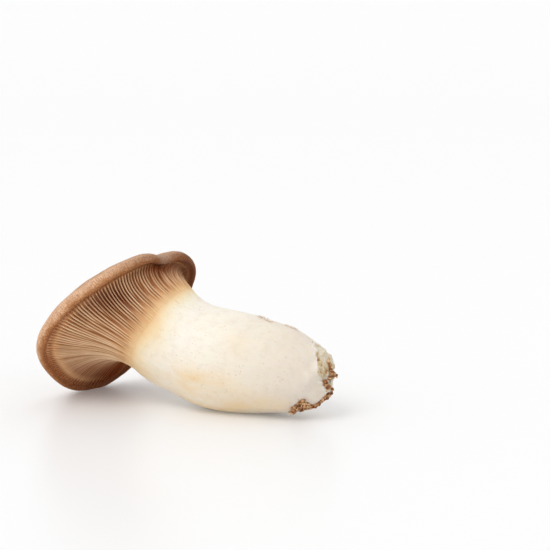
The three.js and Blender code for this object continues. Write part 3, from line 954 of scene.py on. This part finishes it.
def gill_material():
    """Gills: thin blades of tan flesh, pale and smooth at the neck, lighter on the crest and red-brown
    down in the gaps, partly painted shade, with a pale band and then a brown line at their outer ends."""
    material, tree, shader = new_material("gill_flesh_tan")
    place = add_node(tree, "ShaderNodeTexCoord").outputs["Object"]
    depth, along, painted_shade, tone = [
        add_node(tree, "ShaderNodeAttribute", attribute_name=name).outputs["Fac"]
        for name in ("depth", "along", "painted_shade", "tone")]
    # Darker from the crest down to the root in the gaps: partly painted shade.
    blade = add_node(tree, "ShaderNodeValToRGB", {0: depth}, stops=[
        (0.0, "#9a5a33"),
        (0.45, "#c48a5a"),
        (0.84, "#e3b488"),
        (0.97, "#f9dfba"),
    ]).outputs[0]

    # Over the neck the blades have the stem's own tones.
    near_neck = add_node(tree, "ShaderNodeMapRange", {
        "Value": along, "From Min": 0.03, "From Max": 0.36, "To Min": 1.0, "To Max": 0.0},
        interpolation_type="SMOOTHSTEP").outputs[0]
    over_neck = add_node(tree, "ShaderNodeMapRange", {
        "Value": along, "From Min": -GILL_OVER_NECK, "From Max": 0.2}).outputs[0]
    neck_tint = add_node(tree, "ShaderNodeValToRGB", {0: over_neck}, stops=[
        (0.0, "#f2e6cb"),
        (0.5, "#efd3a5"),
        (1.0, "#dfb281"),
    ]).outputs[0]
    lighter = add_node(tree, "ShaderNodeMix", {
        SHARE: near_neck, FIRST: blade, SECOND: neck_tint}, data_type="RGBA").outputs[MIXED]

    # Each blade has its own tone, with browner blotches and painted shade over it.
    darker = add_node(tree, "ShaderNodeMapRange", {"Value": tone, "To Max": 0.52}).outputs[0]
    toned = add_node(tree, "ShaderNodeMix", {
        SHARE: darker, FIRST: lighter, SECOND: linear("#b98658")}, data_type="RGBA").outputs[MIXED]
    blotches = add_node(tree, "ShaderNodeTexNoise", {
        "Vector": place, "Scale": per_mm(7), "Detail": 2.0}).outputs[0]
    uneven = add_node(tree, "ShaderNodeMapRange", {
        "Value": blotches, "From Min": 0.4, "From Max": 0.7, "To Max": 0.25}).outputs[0]
    blotched = add_node(tree, "ShaderNodeMix", {
        SHARE: uneven, FIRST: toned, SECOND: linear("#a8703f")}, data_type="RGBA").outputs[MIXED]
    shade_painted = add_node(tree, "ShaderNodeMix", {
        SHARE: painted_shade, FIRST: blotched, SECOND: linear("#a56a40")},
        data_type="RGBA", blend_type="MULTIPLY").outputs[MIXED]

    # Pale band and brown line at the rim, left out where the painted shade is strong.
    outer = add_node(tree, "ShaderNodeMapRange", {
        "Value": along, "From Min": 0.86, "From Max": 0.93, "To Max": 0.8}).outputs[0]
    younger = add_node(tree, "ShaderNodeMapRange", {
        "Value": painted_shade, "From Min": 0.6, "To Min": 1.0, "To Max": 0.0}).outputs[0]
    outermost = add_node(tree, "ShaderNodeMath", {0: outer, 1: younger}, operation="MULTIPLY").outputs[0]
    ends = add_node(tree, "ShaderNodeValToRGB", {0: along}, stops=[
        (0.925, "#e6b684"),
        (0.965, "#a86a3e"),
    ]).outputs[0]
    colour = add_node(tree, "ShaderNodeMix", {
        SHARE: outermost, FIRST: shade_painted, SECOND: ends}, data_type="RGBA").outputs[MIXED]
    tree.links.new(colour, shader.inputs["Base Color"])
    shader.inputs["Roughness"].default_value = 0.6
    shader.inputs["IOR"].default_value = 1.4
    shader.inputs["Specular IOR Level"].default_value = 0.2
    return material


def cap_skin_material():
    """Cap skin: dry, velvety and tan-brown, lightest where it rolls over the rim, partly a painted
    highlight, and darkest along the gills, partly painted shade, with short streaks across the rim and
    fine darker specks."""
    material, tree, shader = new_material("cap_skin_velvet_brown")
    place = add_node(tree, "ShaderNodeTexCoord").outputs["Object"]
    along = add_node(tree, "ShaderNodeAttribute", attribute_name="grain").outputs["Vector"]
    station, painted_shade, pale = [
        add_node(tree, "ShaderNodeAttribute", attribute_name=name).outputs["Fac"]
        for name in ("station", "painted_shade", "pale")]
    clouds = add_node(tree, "ShaderNodeTexNoise", {
        "Vector": place, "Scale": per_mm(8), "Detail": 4.0, "Roughness": 0.6}).outputs[0]

    # Velvet: the nap is under 0.1 mm, too fine to show, so its streaks are drawn 0.48 mm wide.
    stretched = add_node(tree, "ShaderNodeMapping", {"Vector": along, "Scale": (0.36, 1, 1)}).outputs[0]
    velvet = add_node(tree, "ShaderNodeTexNoise", {
        "Vector": stretched, "Scale": per_mm(0.48), "Detail": 3.0, "Roughness": 0.75}).outputs[0]

    # Ground colour by the way over the cap, from the gills over the rim to the middle of its top. Its
    # bright band where the roll turns over is partly a painted highlight, and its dark brown along the
    # gills partly painted shade.
    wander = add_node(tree, "ShaderNodeMath", {0: clouds, 1: -0.5}, operation="ADD").outputs[0]
    stray = add_node(tree, "ShaderNodeMath", {0: wander, 1: 0.28}, operation="MULTIPLY").outputs[0]
    wavy = add_node(tree, "ShaderNodeMath", {0: station, 1: stray}, operation="ADD").outputs[0]
    way = add_node(tree, "ShaderNodeMapRange", {
        "Value": wavy, "From Min": SKIN_STATION, "From Max": SKIN_STATION + 1}).outputs[0]
    ground = add_node(tree, "ShaderNodeValToRGB", {0: way}, stops=[
        (0.0, "#a9683a"),
        (0.26, "#ae6c3d"),
        (0.34, "#b87c4c"),
        (0.42, "#e2b088"),
        (0.52, "#eec4a2"),
        (0.66, "#c79a74"),
        (0.8, "#bc906c"),
        (1.0, "#b48866"),
    ]).outputs[0]
    whiter = add_node(tree, "ShaderNodeMath", {0: pale, 1: 0.4}, operation="MULTIPLY").outputs[0]
    dented = add_node(tree, "ShaderNodeMix", {
        SHARE: whiter, FIRST: ground, SECOND: linear("#d8c4b0")}, data_type="RGBA").outputs[MIXED]

    # Dark and bright nap, specks 0.8 mm apart and painted shade over stretches of the rim.
    nap = add_node(tree, "ShaderNodeMapRange", {
        "Value": velvet, "From Min": 0.38, "From Max": 0.58, "To Min": 0.5, "To Max": 0.0}).outputs[0]
    napped = add_node(tree, "ShaderNodeMix", {
        SHARE: nap, FIRST: dented, SECOND: linear("#6d3f22")}, data_type="RGBA").outputs[MIXED]
    bright = add_node(tree, "ShaderNodeMapRange", {
        "Value": velvet, "From Min": 0.54, "From Max": 0.68, "To Max": 0.4}).outputs[0]
    lit = add_node(tree, "ShaderNodeMix", {
        SHARE: bright, FIRST: napped, SECOND: linear("#ecc39c")}, data_type="RGBA").outputs[MIXED]
    dots = add_node(tree, "ShaderNodeTexVoronoi", {"Vector": place, "Scale": per_mm(0.8)}).outputs[0]
    specks = add_node(tree, "ShaderNodeMapRange", {
        "Value": dots, "From Min": 0.12, "From Max": 0.3, "To Min": 0.45, "To Max": 0.0}).outputs[0]
    speckled = add_node(tree, "ShaderNodeMix", {
        SHARE: specks, FIRST: lit, SECOND: linear("#7a4a2c")}, data_type="RGBA").outputs[MIXED]
    rim = add_node(tree, "ShaderNodeMapRange", {
        "Value": station, "From Min": SKIN_STATION + 0.42, "From Max": SKIN_STATION + 0.65,
        "To Min": 0.8, "To Max": 0.0}).outputs[0]
    shade_painted = add_node(tree, "ShaderNodeMath", {0: painted_shade, 1: rim}, operation="MULTIPLY").outputs[0]
    colour = add_node(tree, "ShaderNodeMix", {
        SHARE: shade_painted, FIRST: speckled, SECOND: linear("#5c2f1a")}, data_type="RGBA").outputs[MIXED]
    relief = add_node(tree, "ShaderNodeBump", {
        "Height": velvet, "Strength": 0.9, "Distance": 0.35 * MM}).outputs[0]
    tree.links.new(colour, shader.inputs["Base Color"])
    tree.links.new(relief, shader.inputs["Normal"])
    shader.inputs["Roughness"].default_value = 0.75
    shader.inputs["IOR"].default_value = 1.4
    shader.inputs["Specular IOR Level"].default_value = 0.25
    shader.inputs["Sheen Weight"].default_value = 0.1
    shader.inputs["Sheen Roughness"].default_value = 0.4
    shader.inputs["Sheen Tint"].default_value = linear("#e8c09a")
    return material


def crumb_material():
    """Growing medium: damp sawdust and bran, rusty brown with tan bits and dark pits, fully matte."""
    material, tree, shader = new_material("sawdust_crumb_rusty")
    place = add_node(tree, "ShaderNodeTexCoord").outputs["Object"]
    tone = add_node(tree, "ShaderNodeAttribute", attribute_name="tone").outputs["Fac"]
    grain = add_node(tree, "ShaderNodeTexNoise", {
        "Vector": place, "Scale": per_mm(0.6), "Detail": 3.0, "Roughness": 0.7}).outputs[0]
    mixed = add_node(tree, "ShaderNodeMix", {0: 0.45, 2: tone, 3: grain}).outputs[0]
    colour = add_node(tree, "ShaderNodeValToRGB", {0: mixed}, stops=[
        (0.2, "#4c2610"),
        (0.38, "#955c2e"),
        (0.54, "#c08a58"),
        (0.72, "#e6c296"),
    ]).outputs[0]
    relief = add_node(tree, "ShaderNodeBump", {
        "Height": grain, "Strength": 0.6, "Distance": 0.25 * MM}).outputs[0]
    tree.links.new(colour, shader.inputs["Base Color"])
    tree.links.new(relief, shader.inputs["Normal"])
    shader.inputs["Roughness"].default_value = 0.85
    return material


def flake_material():
    """Scraps of dried skin: thin, pale tan and browner at their curled ends."""
    material, tree, shader = new_material("dried_skin_tan")
    place = add_node(tree, "ShaderNodeTexCoord").outputs["Object"]
    grain = add_node(tree, "ShaderNodeTexNoise", {
        "Vector": place, "Scale": per_mm(0.9), "Detail": 2.0}).outputs[0]
    colour = add_node(tree, "ShaderNodeValToRGB", {0: grain}, stops=[
        (0.36, "#b07a4c"),
        (0.52, "#e2c39c"),
        (0.66, "#f0dfc4"),
    ]).outputs[0]
    tree.links.new(colour, shader.inputs["Base Color"])
    shader.inputs["Roughness"].default_value = 0.6
    shader.inputs["IOR"].default_value = 1.4
    return material


def studio_material():
    """Satin white acrylic sheet: a pale floor that shows a faint soft reflection."""
    material, _, shader = new_material("white_acrylic_satin")
    shader.inputs["Base Color"].default_value = linear("#ebebeb")
    shader.inputs["Roughness"].default_value = 0.32
    shader.inputs["Specular IOR Level"].default_value = 0.22
    shader.inputs["Emission Color"].default_value = (1, 1, 1, 1)
    shader.inputs["Emission Strength"].default_value = 0.09
    return material


# Camera: the view is 9 degrees above the floor, with the stem turned 25 degrees. Lens, distance and
# the point that it looks at are in mm.
VIEW_AZIMUTH, VIEW_ELEVATION = 25, 9
LENS, SENSOR = 120, 36
VIEW_DISTANCE = 733.3
AIM_RIGHT, AIM_UP = 10.2, 54.4

# The floor is this many metres wide and lies a little below the mushroom, in mm. The sky is an even
# white of this strength.
FLOOR_SIZE, FLOOR_DROP = 60, 0.02
SKY_STRENGTH = 0.87


def view_axes():
    """Directions of the view: to the right, up, and back towards the camera."""
    a = math.radians(VIEW_AZIMUTH)
    e = math.radians(VIEW_ELEVATION)
    back = Vector((math.sin(a) * math.cos(e), -math.cos(a) * math.cos(e), math.sin(e)))
    right = Vector((math.cos(a), math.sin(a), 0))
    return right, back.cross(right), back


def make_camera():
    right, up, back = view_axes()
    aim = right * AIM_RIGHT + up * AIM_UP
    data = bpy.data.cameras.new("camera")
    data.lens = LENS
    data.sensor_width = SENSOR
    camera = bpy.data.objects.new("camera", data)
    camera.matrix_world = Matrix.Translation((aim + back * VIEW_DISTANCE) * MM) @ Matrix(
        (right, up, back)).transposed().to_4x4()
    bpy.context.scene.collection.objects.link(camera)
    bpy.context.scene.camera = camera


def make_floor():
    deselect_all()
    bpy.ops.mesh.primitive_plane_add(size=FLOOR_SIZE, location=(0, 0, -FLOOR_DROP * MM))
    floor = bpy.context.object
    floor.name = "floor"
    floor.data.materials.append(studio_material())


def make_light(name, azimuth, elevation, softness, power):
    """A wide soft light from afar, placed round the view direction: softness is its width in degrees."""
    right, _, _ = view_axes()
    forward = Vector((0, 0, 1)).cross(right)
    a = math.radians(azimuth)
    e = math.radians(elevation)
    level = right * math.sin(a) - forward * math.cos(a)
    spot = level * math.cos(e) + Vector((0, 0, math.sin(e)))
    data = bpy.data.lights.new(name, "SUN")
    data.angle = math.radians(softness)
    data.energy = power
    lamp = bpy.data.objects.new(name, data)
    lamp.rotation_euler = (-spot).to_track_quat("-Z", "Y").to_euler()
    bpy.context.scene.collection.objects.link(lamp)


def make_studio():
    world = bpy.data.worlds.new("studio")
    world.use_nodes = True
    sky = world.node_tree.nodes["Background"]
    sky.inputs["Color"].default_value = (1, 1, 1, 1)
    sky.inputs["Strength"].default_value = SKY_STRENGTH
    bpy.context.scene.world = world
    bpy.context.scene.view_settings.view_transform = "Standard"
    make_light("key", azimuth=-40, elevation=50, softness=35, power=0.9)


make_camera()
make_floor()
make_studio()
make_body(flesh_material(), cap_skin_material())
make_gills(gill_material())
make_crumbs(crumb_material())
make_flakes(flake_material())
